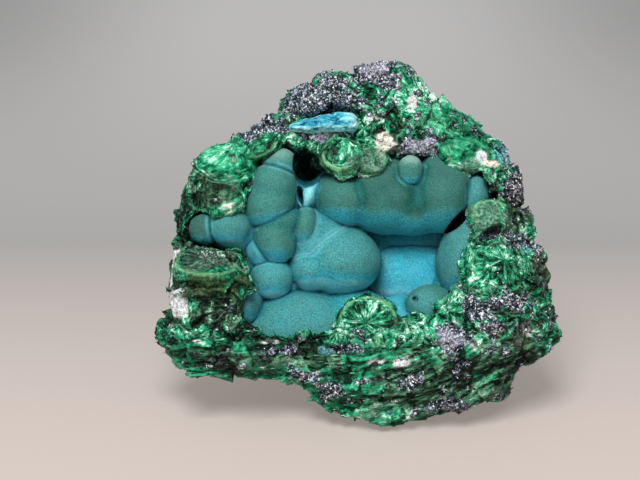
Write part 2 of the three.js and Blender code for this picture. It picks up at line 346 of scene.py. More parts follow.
# the chrysocolla crust
# blue is how much of a ball is bright cyan, and not grey green; balls of one mass grow into each other
# a ball's shade is painted shade for where it lies in shadow, its pale a painted highlight on faces turned
# up
crust = dict(
    grain=0.28,  # of the fine skin, in mm
    share=0.44,  # of its faces that are kept
    evening=60,  # rounds of smoothing where balls of one mass meet
    skin=dict(grain=0.035, lumps=0.12),
    # painted shade: faces turned down get more blue and some shade, as if in shadow
    under=dict(blue=0.75, shade=0.08, pale=0),  # what the undersides have more of
    balls=dict(
        farLeft=dict(at=(-34.4, 3.6, 1.4), size=(3.6, 3.6, 4), blue=0),
        left=dict(at=(-28.9, 4, 2.4), size=(4.9, 4.4, 4.9), turn=-4, blue=0.36, mass="left"),
        leftRoot=dict(at=(-26.5, 3, -2.4), size=(7, 5.4, 6), blue=0.4, mass="left", shade=0.3),
        thumbTop=dict(at=(-17.9, 17.4, 0.6), size=(4.4, 4.4, 5.6), blue=0.3, pale=0.3),
        thumbUpper=dict(at=(-19.2, 13.2, 1.6), size=(5.4, 5.4, 7.2), turn=6, blue=0.28, mass="thumb"),
        thumb=dict(at=(-19.9, 9.4, 1.8), size=(5.6, 6.6, 7.4), turn=-20, blue=0.28, mass="thumb"),
        dropUpper=dict(at=(-18.2, 4.8, 1.6), size=(5.6, 3.8, 6), turn=20, blue=0.3, mass="drop"),
        drop=dict(at=(-18.8, 1.6, 2), size=(4.8, 5.8, 6.2), turn=10, blue=0.3, mass="drop"),
        dropTwin=dict(at=(-12.3, 4.3, 1.4), size=(2.9, 4.5, 4.9), turn=-6, blue=0.34),
        underDrop=dict(at=(-21.6, -1.4, 0), size=(4.2, 4.2, 5), blue=0.56, shade=0.15),
        lowerLeft=dict(at=(-19.6, -7.3, 0.8), size=(4.9, 4.7, 5.4), blue=0.56),
        leftFold=dict(at=(-24.6, -3, -6), size=(2.8, 8, 8), blue=0.4, shade=0.9),
        leftFoot=dict(at=(-25.2, -13, 0.6), size=(3.6, 4.6, 6), blue=0.5),
        shoulder=dict(at=(-9.8, 1, -4.2), size=(8.4, 7.4, 8.6), turn=38, blue=0.5),
        dome=dict(at=(-4.9, -3.2, -3.6), size=(9.7, 8, 9.6), turn=-8, blue=0.48, mass="dome"),
        domeLeft=dict(at=(-10.8, -5.2, -3.2), size=(5.6, 5.4, 8.6), blue=0.56, mass="dome"),
        gapLow=dict(at=(-15.2, -7, -5.5), size=(3, 4.5, 7), blue=0.8),
        floorLeft=dict(at=(-13.4, -18.6, -3), size=(12.6, 8.6, 10.2), blue=0.5, mass="floor"),
        floorMiddle=dict(at=(-2, -18, -5.4), size=(10.5, 8.4, 9.6), blue=0.72, mass="floor"),
        drapeLeft=dict(at=(-3.8, 10.2, -3.2), size=(7, 6.2, 9.2), turn=-20, blue=0.18, mass="drape"),
        drapeMiddle=dict(at=(6.2, 11, -4), size=(10.4, 8.8, 10.2), blue=0.05, mass="drape"),
        drapeLow=dict(at=(11.5, 8.4, -3.6), size=(9.5, 6.4, 8.2), blue=0.1, mass="drape"),
        drapeRight=dict(at=(18.2, 12, -2.8), size=(7.4, 9.6, 9.6), turn=-16, blue=0.1, mass="drape"),
        bead=dict(at=(11, 16.5, 3.4), size=(2.9, 3.4, 3.2), blue=0.28, pale=0.5),
        gapRidge=dict(at=(-11.4, 11, -2), size=(2.1, 4.2, 6), turn=-20, blue=1.3, mass="gap"),
        wall=dict(at=(11.6, -6.8, -13.4), size=(10, 8, 7.6), blue=1.0, mass="wall"),
        wallLeft=dict(at=(7.6, -4.6, -13.6), size=(5, 5.6, 7), blue=1.0, mass="wall"),
        wallRight=dict(at=(15.6, -4.6, -13.6), size=(5, 5.6, 7), blue=1.0, mass="wall"),
        backWall=dict(at=(11.6, -3, -16), size=(15, 13.5, 7.4), blue=1.0, shade=0.05),
        floorRight=dict(at=(9, -19.4, -5), size=(8, 8.2, 9), blue=0.95, mass="floor"),
        rightSide=dict(at=(23.8, -2.4, -4.6), size=(6.5, 10, 10), turn=-12, blue=0.46),
        rightFoot=dict(at=(15.4, -13.6, 0.4), size=(5.4, 4.8, 6), blue=0.36),
        rightTop=dict(at=(25.6, 11.4, -1.6), size=(3.4, 5, 6), blue=0.5),
        leftRecess=dict(at=(-11.6, 10, -7.4), size=(5, 8, 6.8), blue=1.0, mass="gap"),
    ),
    pit=dict(at=(11.9, -11.8), radius=0.5, depth=1.6),
    groove=dict(depth=0.4, width=0.2, rim=0.6, rimWidth=0.25, ridgeWidth=0.22),
    # these ridges are raised, and their pale colour is a painted highlight
    ridges=[("shoulder", "dome"), ("shoulder", "dropTwin")],  # these meet in a pale ridge
    merging=dict(drape=0.3),  # how far the balls of a mass are smoothed into each other, or else 1
)
holes = [  # deep holes through crust and stone, and the cleft in the shell on the right
    dict(at=(-11.8, 17.6, -1), size=(3.4, 5, 15)),
    dict(at=(21.8, 5.6, -8), size=(1.7, 4.6, 14), turn=-42),
    dict(at=(28.2, 2, 8), size=(4.6, 1.6, 5), turn=36),
    dict(at=(-13.2, 11, -3), size=(0.6, 3, 10), turn=12),
]


def carve(piece, voxel):  # cuts the holes out of a closed skin
    bm = bmesh.new()
    for hole in holes:
        addBall(bm, hole)
    cutter = asObject(bm, "cutter")
    modifier = piece.modifiers.new("holes", "BOOLEAN")
    modifier.solver = "MANIFOLD"
    modifier.object = cutter
    grainOf(piece, voxel)
    bpy.data.objects.remove(cutter)


def grown(mesh, grain, lumps):  # fine-grained skin of a crust
    local = onFront(pointsOf(mesh))
    push(mesh, lumps * softNoise(local, 4.2, 11) + 0.4 * lumps * softNoise(local, 1.7, 12)
         + grain * softNoise(local, 0.7, 13))


def toBalls(points):  # how far each point is from each ball, in mm, and the mass that each ball is of
    balls = crust["balls"]
    away = np.stack([(inBall(points, ball) - 1) * min(ball["size"][:2]) for ball in balls.values()])
    return away, np.array([ball.get("mass", name) for name, ball in balls.items()])


def meetings(away, masses):  # how far each point is from where two masses meet, in mm, and 1 if in a ridge
    names = np.unique(masses)
    away = np.stack([away[masses == name].min(axis=0) for name in names])
    first = away.argmin(axis=0)
    nearest = away.min(axis=0)
    np.put_along_axis(away, first[None], np.inf, axis=0)
    ridged = np.zeros((len(names), len(names)))
    for pair in crust["ridges"]:
        one, other = np.searchsorted(names, pair)
        ridged[one, other] = ridged[other, one] = 1
    return np.maximum(away.min(axis=0) - nearest, 0), ridged[first, away.argmin(axis=0)]


def pitOf(points):  # 1 in the small round pit in the right foot
    pit = crust["pit"]
    return np.exp(-np.sum((points[:, :2] - pit["at"]) ** 2, axis=1) / pit["radius"] ** 2)


def withinMass(points):  # 1 where balls of one mass grow into each other
    away, masses = toBalls(points)
    nearest = masses[away.argmin(axis=0)]
    merging = np.zeros(len(points))
    for mass in set(masses):
        here = away[masses == mass]
        if len(here) > 1:
            first, second = np.sort(here, axis=0)[:2]
            closeness = crust["merging"].get(mass, 1) * np.exp(-(second - first) / 1.6)
            merging = np.where(nearest == mass, closeness, merging)
    return merging * ease(0.3, 1.5, meetings(away, masses)[0])


def crustPiece():
    bm = copyOf("chrysocolla_crust")
    for ball in crust["balls"].values():
        addBall(bm, ball)
    piece = asObject(bm, "chrysocolla_lining")
    grainOf(piece, crust["grain"])
    carve(piece, crust["grain"])
    mesh = piece.data
    relax(mesh, 2, np.full(len(mesh.vertices), 0.5))
    rounds = crust["evening"] // 1
    relax(mesh, rounds, 0.7 * withinMass(onFront(pointsOf(mesh))))
    local = onFront(pointsOf(mesh))
    groove = crust["groove"]
    gap, ridge = meetings(*toBalls(local))
    cut = groove["depth"] * (1 - 1.3 * ridge) * np.exp(-gap / groove["width"])
    push(mesh, -crust["pit"]["depth"] * pitOf(local) - cut)
    grown(mesh, **crust["skin"])
    thin(piece, np.maximum(buried(mesh, "malachite_matrix", inside=0.9), 0.02), crust["share"])
    mesh = piece.data
    local = onFront(pointsOf(mesh))
    away = np.stack([inBall(local, ball) for ball in crust["balls"].values()])
    pull = np.exp(-14 * (away - away.min(axis=0)))
    # painted shade: the more a face turns down, the more of the under tints it gets
    under = ease(0.2, 0.8, -(normalsOf(mesh) @ frontTurn)[:, 1])
    # painted highlight: faces turned up take the balls' pale tint
    above = ease(0.1, 0.8, (normalsOf(mesh) @ frontTurn)[:, 1])
    for name, most in crust["under"].items():
        tint = np.array([ball.get(name, 0) for ball in crust["balls"].values()])
        keep(mesh, name, (pull * tint[:, None]).sum(axis=0) / pull.sum(axis=0) + most * under)
    keep(mesh, "above", above)
    gap, ridge = meetings(*toBalls(local))
    # painted highlight: a pale band beside each line where masses meet
    keep(mesh, "rim", np.exp(-((gap - groove["rim"]) / groove["rimWidth"]) ** 2))
    # painted shade: dark lines where two masses meet
    keep(mesh, "crease", np.exp(-gap / groove["width"]) * (1 - ridge))
    # painted highlight along the pale ridges
    keep(mesh, "ridge", np.exp(-gap / groove["ridgeWidth"]) * ridge)
    # painted shadow: near black inside the pit
    keep(mesh, "pit", ease(0.25, 0.6, pitOf(local)))
    bend = hollowness(mesh, crust["evening"])
    # painted shade: darker and bluer in the hollows
    keep(mesh, "fold", ease(-0.1, 0.4, bend))
    # painted highlight: paler on the bulges, not on the undersides
    keep(mesh, "swell", ease(0.02, 0.25, -bend) * (1 - under))
    return piece


def buried(mesh, node, near=1.6, inside=None):  # 1 where that CAD node is near in front, or deep round it
    tree = treeOf(node)
    points, normals = pointsOf(mesh), normalsOf(mesh)
    covered = np.zeros(len(points))
    for i, (point, normal) in enumerate(zip(points, normals)):
        _, facing, _, distance = tree.ray_cast(Vector(point + normal * 0.02 * mm), Vector(normal))
        if facing is not None:
            leaving = inside is not None and facing.dot(Vector(normal)) > 0
            covered[i] = distance > inside * mm if leaving else distance < near * mm
    return covered


def crustFinish():
    finish = Finish("chrysocolla skin", Roughness=0.8, IOR=1.36)
    at = finish.place()
    cloud = finish.noise(at, 160, 4)
    grains = finish.noise(at, 3400, 3, 0.75)
    blue = finish.attribute("blue") + (finish.attribute("fold") - 0.2) * 0.12 + (cloud - 0.5) * 0.5
    teal = finish.ramp(blue * 0.8, (0.0, 14, 96, 84), (0.2, 42, 130, 120), (0.36, 64, 158, 160),
                       (0.56, 52, 172, 182), (0.8, 66, 198, 214), (1.0, 150, 226, 234))
    specks = finish.ramp(grains, (0.36, 60, 60, 60), (0.64, 205, 205, 205))
    skin = finish.mix(0.75, teal, specks, "OVERLAY")
    # painted highlight on the bulging tops
    skin = finish.tinted(skin, "swell", 0.12, colour(134, 178, 166))
    # painted highlight: the balls' pale tint on faces turned up
    skin = finish.tinted(skin, "pale", finish.attribute("above"), colour(170, 208, 192))
    # painted highlight beside the creases
    skin = finish.tinted(skin, "rim", finish.span(cloud, 0.4, 0.6, 0.0, 0.4), colour(110, 206, 214))
    # painted shade: darker blue on balls that lie in shadow
    skin = finish.tinted(skin, "shade", 1, colour(8, 104, 138))
    # painted shade in the hollows of the crust
    skin = finish.tinted(skin, "fold", 0.4, colour(8, 88, 104))
    # painted shade in the creases between masses
    skin = finish.tinted(skin, "crease", 0.75, colour(6, 60, 74))
    # painted highlight on the raised ridges
    skin = finish.tinted(skin, "ridge", 0.5, colour(136, 208, 210))
    # painted shadow inside the pit
    skin = finish.tinted(skin, "pit", 1, colour(3, 18, 22))
    finish.set(Base_Color=skin, Roughness=finish.span(cloud, 0.3, 0.7, 0.72, 0.88),
               Normal=finish.bump(grains, 0.0003, 0.8))
    return finish.material


# the pale seam in the slot above
seam = dict(
    grain=0.25,
    skin=dict(grain=0.1, lumps=0.3),
    flakes=dict(size=1.3, height=0.22, tilt=0.2, seed=61),
    lobes=[
        dict(at=(-13.6, 26, 1.4), size=(2.6, 1.1, 4.6), turn=8),
        dict(at=(-10.8, 26.6, 1.2), size=(3, 1.4, 4.6), turn=6),
        dict(at=(-7.4, 27.4, 1.2), size=(3, 1.6, 4.8), turn=4),
        dict(at=(-4.6, 27.4, 1.0), size=(2.8, 1.8, 4.6), turn=2),
        dict(at=(-2.4, 26.6, 1.2), size=(2.2, 1.7, 4.4), turn=-20),
        dict(at=(-7, 26, 1.8), size=(6, 0.9, 4.2), turn=0),
    ],
)


def seamPiece():
    bm = copyOf("chrysocolla_seam")
    for lobe in seam["lobes"]:
        addBall(bm, lobe)
    piece = asObject(bm, "chrysocolla_seam_lining")
    grainOf(piece, seam["grain"])
    mesh = piece.data
    relax(mesh, 2, np.full(len(mesh.vertices), 0.5))
    grown(mesh, **seam["skin"])
    drawn = onFront(pointsOf(mesh)) * np.array((0.35, 1, 0.6))
    push(mesh, chips(drawn, **seam["flakes"]))
    # painted shade: darker in the folds of the seam
    keep(mesh, "fold", ease(-0.06, 0.12, hollowness(mesh, 6)))
    local = onFront(pointsOf(mesh))
    keep(mesh, "pale", np.maximum(ease(-6, -1, local[:, 0]), ease(26.6, 25.6, local[:, 1])))
    return piece


def seamFinish():
    finish = Finish("pale chrysocolla", Roughness=0.75, IOR=1.36)
    at = finish.place()
    drawn = finish.node("ShaderNodeMapping", {}, {"Vector": at, "Scale": (0.3, 1, 1)})
    # darker where fold is: painted shade in the folds
    value = (finish.noise(drawn, 760, 4, 0.7) + (finish.noise(at, 2600, 2, 0.7) - 0.5) * 0.5
             - finish.attribute("fold") * 0.25 + finish.attribute("pale") * 0.2 + 0.01)
    tint = finish.ramp(value, (0.25, 4, 60, 76), (0.4, 26, 130, 158), (0.52, 70, 176, 196),
                       (0.64, 128, 210, 218), (0.8, 214, 240, 238))
    finish.set(Base_Color=tint, Normal=finish.bump(value, 0.0002, 0.6))
    return finish.material


# the malachite stone
# rims are the balls broken across at the edge of the hollow: flat is how far from its middle a
# ball's flat lies, root is where its fibres start, fan is how far they run, in balls, and pale
# is how plain its outer shell shows
stone = dict(
    grain=0.36,  # of the fine skin, in mm
    share=0.42,  # of its faces that are kept
    rounding=8,  # rounds of smoothing before it is broken up
    fan=7.5,  # how wide a fan of fibres is, in mm
    flats=dict(size=5.2, height=0.6, tilt=0.3, seed=41),
    bits=dict(size=1.9, height=0.12, tilt=0.16, seed=51),
    sole=0.5,  # what lies lower than this is flat on the ground
    rims=dict(
        frontBall=dict(at=(1.7, -17.8, 6.4), size=(7.1, 6.7, 6.6), facing=(-0.05, 0.2, 1), flat=3,
                       root=(1, -17), fan=1.12, pale=0.5, side=(0, 1)),
        frontTwin=dict(at=(12, -19.4, 6), size=(5.6, 4.8, 5.5), facing=(0.1, 0.2, 1), flat=3.2,
                       root=(10, -16.6), fan=1.2, pale=0.1),
        leftBarrel=dict(at=(-33.4, -6, 5.6), size=(7.8, 7, 7.4), facing=(0, 0.9, 0.42), flat=3,
                        root=(-33, -2.9), fan=0.98, pale=0.4),
        lowerLip=dict(at=(-9.6, -23.4, 4.6), size=(7, 4.6, 6), facing=(0, 0.2, 1), flat=4,
                      root=(-14, -34), fan=1.05, pale=0.3, side=(0, 1)),
        thumbLip=dict(at=(-21.8, 21.2, 1.4), size=(5, 2.7, 6), turn=24, facing=(-0.1, 0.3, 1), flat=4.4,
                      root=(-34, 26), fan=1.05, pale=0.4, side=(0.5, -0.8)),
        leftUnder=dict(at=(-32.5, -14.6, 4.4), size=(7, 6, 6.5), facing=(0.2, -0.3, 1), flat=3.7,
                       root=(-26.6, -12.2), fan=1.3, pale=0),
        upperLeft=dict(at=(-30, 14.4, 1.6), size=(7.6, 8.6, 7.6), turn=-8, facing=(0, 0.75, 0.65), flat=5,
                       root=(-28, 22.6), fan=1.4, pale=0),
        topLip=dict(at=(-4.2, 19.4, 4), size=(4.6, 4.2, 4.6), facing=(-0.1, 0.45, 1), flat=2.4,
                    root=(-3, 27), fan=1.1, pale=0.8, side=(-0.7, -0.7)),
        lipTwin=dict(at=(2.6, 18.4, 2.4), size=(3.6, 3.6, 4.6), facing=(0.1, 0.35, 1), flat=2.8,
                     root=(2.4, 21), fan=1.1, pale=0.3),
        upperRight=dict(at=(22.4, 19.4, 1), size=(6.4, 4.4, 5), facing=(0.3, 0.4, 1), flat=3.2,
                        root=(12, 36), fan=1.3, pale=0.2),
        rightLip=dict(at=(28.4, 6, 3), size=(4.9, 4.2, 5), facing=(0.1, 0.3, 1), flat=3,
                      root=(38, 9), fan=1.1, pale=0.8, side=(-0.5, 0.8)),
        rightShell=dict(at=(28, -5.4, 5), size=(6.2, 6.8, 6.4), facing=(0.3, 0.15, 1), flat=3.6,
                        root=(31.4, -3.4), fan=1.3, pale=0.1),
    ),
    lumps=[dict(at=(12, 22.2, -0.2), size=(5.2, 3, 4.8))],  # the druse over the bead
    druse=[(5.4, 22.6, 2.6, 2), (11.2, 31.8, 1, 1.6), (26.9, 19.8, 1.4, 1.2), (-8.9, 32.6, 11, 4.4),
           (-22, 27, 7, 3.2), (3.3, 38.8, 6.6, 4), (-9.4, 24, 6, 1.4), (13.4, 21.6, 4.6, 2.6),
           (34, 13, 3.2, 5), (28.4, 2.4, 3.4, 1.4), (25, -14, 3.4, 3.4), (33, -12, 4, 1.6),
           (19.6, -19.4, 4, 3), (28, -18, 4, 1.8), (36, 0.4, 3, 1.6), (-3.7, -22.4, 3.4, 1.2),
           (-13.3, -28.4, 3, 1.4), (-6, -31.4, 3.4, 2.2), (20, -35, 5, 1.6), (10, -30, 2, 1),
           (0, -29.6, 2, 1)],
    white=[(11.2, 31.8, 1, 1.8), (26.9, 19.8, 1.6, 1.3), (3.3, 28, 1.8, 0.36), (3.9, -25.1, 2, 0.6),
           (9, -25.5, 2, 0.9), (-35.2, -21, 0.7, 0.5), (-19, -21, 1.6, 0.4)],
    lilac=[(12.6, 22, 4.4, 2.2), (-8, 24, 4, 1.2), (19, -20, 3, 1.6), (3.4, 39, 4, 1.6)],
    cream=[(5.4, 22.6, 2.9, 2.3), (29, 18, 2, 1)],
    cyan=[(10.8, 25.2, 0.9, 0.8), (31.2, 20, 2, 2.2), (-8, -22.8, 2, 1), (36.6, -1, 1, 1)],
    brown=[(-27.9, 18.6, 0.8, 0.8), (35.5, -20, 4.4, 2.2), (12.6, -22.6, 2.4, 1.3), (30, -18, 3, 1.6),
           (40, -4, 2.4, 2), (34.4, 12.4, 2.6, 4.4)],
    bright=[(-29.6, 19.4, 6, 3.4), (15, 27, 4, 3), (11.6, -18.6, 4.6, 4), (-29, 8, 5, 1),
            (14, 30.6, 5, 6), (0.8, -16.8, 6.4, 5.6), (3, 28, 3.6, 1.6),
            (-39.4, -18.4, 2.4, 1.2), (25.6, -7.4, 2.6, 2), (4, -37, 8, 2)],
    dark=[(-11, 18, 3.4, 4.4), (-29, -14, 9, 6), (-31, -25, 8, 3.6), (-21, 21, 4, 2.4), (-40, 6, 2.6, 7),
          (34, 11, 4, 5), (-20, -22, 7, 2.4), (-9, -21.6, 7, 2.6), (-42, -14, 3, 6), (36, -10, 5, 6),
          (30, -26, 9, 4), (38, 8, 3, 6)],
    dull=[(2.4, 18.4, 4, 3.6), (28, 6.8, 5, 4), (24, 17, 2.6, 2)],
    # painted shadow deep in the hole by the thumb
    black=[(-11.8, 18, 2.9, 4.2)],
    muted=[(-32, 11, 5.5, 3.8), (16, -31, 15, 7), (31, -24, 9, 6), (-12, -24, 9, 3), (-31, -14, 6, 4),
           (-29, -25, 7, 3), (34, 6, 4, 5), (39, -6, 4, 4)],
    olive=[(-33.2, -8.4, 6.6, 2.6)],
    glass=[(-33.4, -2.9, 6, 2.4)],
    calm=[(-29.4, 18.6, 7, 5), (-31, 10.4, 6.6, 4.4), (-33.4, -7, 7, 5), (20, 25, 8, 7), (28, 7, 5, 4)],
    tablets=[  # clear white slivers on the left, at the surface there
        dict(at=(-39.8, -12.7), size=(1.8, 2.9, 1.2), turn=10, out=0.9),
        dict(at=(-41, -5.4), size=(0.7, 4.4, 1), turn=-6, out=0.8),
    ],
    layers=dict(below=-21, behind=-16, tilt=0.5, tiltFrom=8, softly=6, thick=1.5, stretch=5, height=0.5),
)


def flatOf(ball):  # the flat that a rim ball is broken to: a point on it and its normal
    facing = Vector(ball["facing"]).normalized()
    return Vector(ball["at"]) + facing * ball["flat"], facing


def rootOf(ball):  # where the fibres start, on the flat
    onFlat, facing = flatOf(ball)
    x, y = ball["root"]
    rise = (facing.x * (onFlat.x - x) + facing.y * (onFlat.y - y)) / facing.z
    return np.array((x, y, onFlat.z + rise))


def brokenBall(ball):
    bm = bmesh.new()
    addBall(bm, ball)
    onFlat, facing = flatOf(ball)
    cut = bmesh.ops.bisect_plane(bm, geom=bm.verts[:] + bm.edges[:] + bm.faces[:],
                                 plane_co=frontToRow @ onFlat, plane_no=frontToRow.to_3x3() @ facing,
                                 clear_outer=True)
    loop = [edge for edge in cut["geom_cut"] if isinstance(edge, bmesh.types.BMEdge)]
    bmesh.ops.edgeloop_fill(bm, edges=loop)
    return bm


def take(bm, part):  # adds a part's faces to bm
    shape = bpy.data.meshes.new("part")
    part.to_mesh(shape)
    part.free()
    bm.from_mesh(shape)
    bpy.data.meshes.remove(shape)


def aboveFlat(points, ball):
    onFlat, facing = flatOf(ball)
    return (points - np.array(onFlat)) @ np.array(facing)


def onRims(points):  # 1 on the flats of the broken balls
    flat = np.zeros(len(points))
    for ball in stone["rims"].values():
        height = aboveFlat(points, ball)
        near = (1 - ease(0.6, 1.4, height)) * (1 - ease(1.6, 3.2, -height))
        flat = np.maximum(flat, (1 - ease(1.12, 1.3, inBall(points, ball))) * near)
    return flat


def fans(points, normals):  # the fan each place is in: its fibres' way and reach, and the fan's edge
    owner, offset, _, edge = cellsOf(points, stone["fan"], 91)
    aside = np.stack([scramble(owner, seed) - 0.5 for seed in (111, 112, 113)], axis=1)
    offset = offset + 1.1 * stone["fan"] * aside / np.linalg.norm(aside, axis=1)[:, None]
    nearest = np.full(len(points), 9.0)
    for number, ball in enumerate(stone["rims"].values()):
        out = inBall(points, ball)
        mine = (out < ball["fan"]) & (out < nearest)
        offset[mine] = points[mine] - rootOf(ball)
        owner[mine] = (900 + number, 0, 0)
        edge[mine] = ball["fan"] - out[mine]
        nearest[mine] = out[mine]
    upright = np.sum(offset * normals, axis=1)
    offset = offset - 0.85 * upright[:, None] * normals
    reach = np.linalg.norm(offset, axis=1)
    return offset / np.maximum(reach, 0.01)[:, None], reach, owner, edge


def inLayers(points):  # along, across and through the layers below the hollow, and 1 where they are
    layers = stone["layers"]
    soft = layers["softly"]
    rise = layers["tilt"] * soft * np.log1p(np.exp((points[:, 0] - layers["tiltFrom"]) / soft))
    placed = np.stack([points[:, 0], points[:, 1] - rise, points[:, 2]], axis=1)
    ragged = 1.6 * softNoise(points, 3.6, 107) + 0.8 * softNoise(points, 1.4, 108)
    onFan = np.min([inBall(points, ball) / ball["fan"] for ball in stone["rims"].values()], axis=0)
    low = (points[:, 1] + ragged < layers["below"]) & (points[:, 2] > layers["behind"]) & (onFan > 1)
    return placed, low


def fibres(points, normals):  # the fans, and below them the layers, as streaks for relief and colour
    way, reach, owner, edge = fans(points, normals)
    placed, low = inLayers(points)
    way[low] = 0.12 * placed[low] * np.array((0, 1, 0.3))
    reach[low] = placed[low, 0]
    edge[low] = 1
    return way, reach, owner, edge


def smoothNormals(mesh, rounds):  # in the front's own frame
    edges, normals = edgesOf(mesh), normalsOf(mesh)
    for _ in range(rounds):
        normals = neighbourMean(edges, normals)
    return (normals / np.linalg.norm(normals, axis=1)[:, None]) @ frontTurn


def surfaceAt(x, y):  # how far out of the front the CAD stone's skin is there, in mm
    start, inwards = frontToRow @ Vector((x, y, 60)), frontToRow.to_3x3() @ Vector((0, 0, -1))
    hit = treeOf("malachite_matrix").ray_cast(start, inwards.normalized())[0]
    return (frontToRow.inverted() @ hit).z


def slivers():
    return [dict(tablet, at=(*tablet["at"], surfaceAt(*tablet["at"]) + tablet["out"]))
            for tablet in stone["tablets"]]


def stonePiece():
    bm = copyOf("malachite_matrix")
    for ball in stone["rims"].values():
        take(bm, brokenBall(ball))
    for lump in stone["lumps"]:
        addBall(bm, lump)
    tablets = slivers()
    for tablet in tablets:
        bmesh.ops.create_cube(bm, size=2, matrix=ballPlace(tablet))
    piece = asObject(bm, "malachite_stone")
    grainOf(piece, stone["grain"])
    carve(piece, stone["grain"])
    mesh = piece.data
    local = onFront(pointsOf(mesh))
    relax(mesh, stone["rounding"], 0.5 * (1 - 0.8 * np.maximum(onRims(local), onTablets(local, tablets))))
    hidden = buried(mesh, "chrysocolla_crust")
    local = onFront(pointsOf(mesh))
    way, reach, owner, edge = fibres(local, smoothNormals(mesh, 4))
    plain = np.maximum(onRims(local), onTablets(local, tablets))
    grainy = blot(local, stone["druse"]) * (1 - plain)
    broken = (1 - 0.85 * hidden) * (1 - 0.85 * plain)
    steps = 0.9 * (scramble(owner, 95) - 0.5) - 0.4 * (1 - ease(0, 0.12, edge))
    ribs = softNoise(way * 5, 1, 96) * ease(0, 3, reach)
    crumbs = 0.5 - cellsOf(local, 1.1, 71)[2]
    layers = stone["layers"]
    placed, low = inLayers(local)
    plates = chips(placed / np.array((layers["stretch"], 1, 3)), layers["thick"], layers["height"], 0.25, 98)
    push(mesh, broken * (steps * (1 - low) + chips(local, **stone["flats"])
                         + (1 - 0.6 * grainy) * 0.3 * ribs
                         + (1 - grainy) * (1 - low) * chips(local, **stone["bits"])
                         + low * (1 - 0.5 * grainy) * plates + 0.6 * grainy * crumbs))
    local = onFront(pointsOf(mesh))
    fine = softNoise(way * 9, 1, 99) + 0.5 * softNoise(way * 17, 1, 100)
    push(mesh, (1 - hidden) * 0.1 * fine * (1 - onTablets(local, tablets)))
    least = np.clip(hidden + 0.55 * ease(-4, -18, local[:, 2]), 0, 1)
    thin(piece, least, stone["share"])
    mesh = piece.data
    points = pointsOf(mesh)
    height, sole = points[:, 2], stone["sole"] * mm
    points[:, 2] = np.where(height < sole, np.maximum(height - sole, 0), height)
    place(mesh, points)
    paintStone(mesh, tablets)
    return piece


def onTablets(points, tablets):  # 1 on the white slivers
    return np.max([1 - ease(1.02, 1.2, inBall(points, tablet, 8)) for tablet in tablets], axis=0)


def paintStone(mesh, tablets):
    local = onFront(pointsOf(mesh))
    way, reach, owner, edge = fibres(local, smoothNormals(mesh, 8))
    keep(mesh, "spoke", way)
    keep(mesh, "reach", reach)
    rim = 0.3 * ease(0.12, 0.08, edge) * ease(0.02, 0.06, edge) * (scramble(owner, 105) > 0.5)
    for ball in stone["rims"].values():
        out = inBall(local, ball)
        shell = ease(0.93, 0.97, out) * (1 - ease(1.0, 1.05, out)) * (np.abs(aboveFlat(local, ball)) < 0.6)
        if "side" in ball:
            aside = (local[:, :2] - ball["at"][:2]) @ ball["side"]
            shell = shell * ease(-0.1, 0.5, aside / min(ball["size"]))
        rim = np.maximum(rim, ball["pale"] * shell)
    keep(mesh, "rim", rim)
    for patch in "lilac cream cyan brown bright dark dull black muted olive glass".split():
        keep(mesh, patch, blot(local, stone[patch], 0.6))
    tablet = onTablets(local, tablets)
    keep(mesh, "white", np.maximum(blot(local, stone["white"], 0.6), tablet))
    behind = ease(-4, -14, local[:, 2])
    scattered = ease(0.25, 0.5, softNoise(local, 9, 101) + 0.4 * softNoise(local, 3.4, 102))
    specks = ease(0.6, 0.8, softNoise(local, 2.6, 103) + 0.5 * softNoise(local, 1.2, 104))
    druse = np.maximum(blot(local, stone["druse"], 0.8), np.maximum(0.9 * behind * scattered, 0.8 * specks))
    keep(mesh, "druse", druse * (1 - tablet) * (1 - onRims(local)))
    flats, bits = (scramble(cellsOf(local, broken["size"], broken["seed"])[0], broken["seed"] + 7)
                   for broken in (stone["flats"], stone["bits"]))
    keep(mesh, "tone", 0.35 * scramble(owner, 106) + 0.35 * flats + 0.3 * bits)
    keep(mesh, "crease", hollowness(mesh, 4))
    keep(mesh, "height", local[:, 1])
    layered = inLayers(local)[1] * (0.7 + 0.3 * ease(16, -4, local[:, 0]))
    keep(mesh, "calm", np.maximum(layered, blot(local, stone["calm"])))


